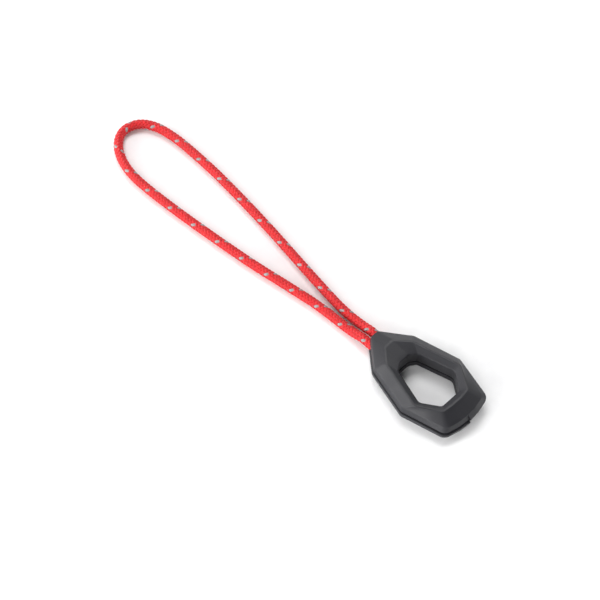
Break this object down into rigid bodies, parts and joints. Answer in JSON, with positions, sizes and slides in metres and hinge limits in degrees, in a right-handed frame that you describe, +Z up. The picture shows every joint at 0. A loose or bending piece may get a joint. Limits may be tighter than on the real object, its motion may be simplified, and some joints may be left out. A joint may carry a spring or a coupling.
{
  "type": "zip pull",
  "caption": "Zip pull with a moulded two-shell grip ring, an open finger window and a loop of round braided cord held in its nose.",
  "frame": {"origin": "bottom centre of the grip's box, without the cord: the point under the middle of the grip, on the surface it lies on", "axes": "+Z up from the surface the grip lies on, +X along the grip from its tail to its nose and on along the cord loop, +Y to the left of the nose"},
  "size_m": [0.0959, 0.0162, 0.0051],
  "materials": {
    "shell_black": "soft matte moulded charcoal plastic",
    "cord_red": "round braided polyester cord, bright red with one pale grey tracer yarn",
    "stopper_red": "melted and pressed cord ends"
  },
  "bodies": {
    "base": {"lower_shell": "shell_black", "end_stopper": "stopper_red", "cord_tail_right": "cord_red", "cord_tail_left": "cord_red"},
    "cover": {"upper_shell": "shell_black"},
    "cord_loop": {"cord_run_right": "cord_red", "cord_bend": "cord_red", "cord_run_left": "cord_red"}
  },
  "joints": [
    {"name": "cover_lift", "type": "slide", "parent": "base", "child": "cover", "axis": [0, 0, 1], "range_m": [0, 0.008]},
    {"name": "loop_swing", "type": "hinge", "parent": "base", "child": "cord_loop", "pos_m": [0.01405, 0, 0.0017], "axis": [0, -1, 0], "range_deg": [-60, 90]}
  ]
}
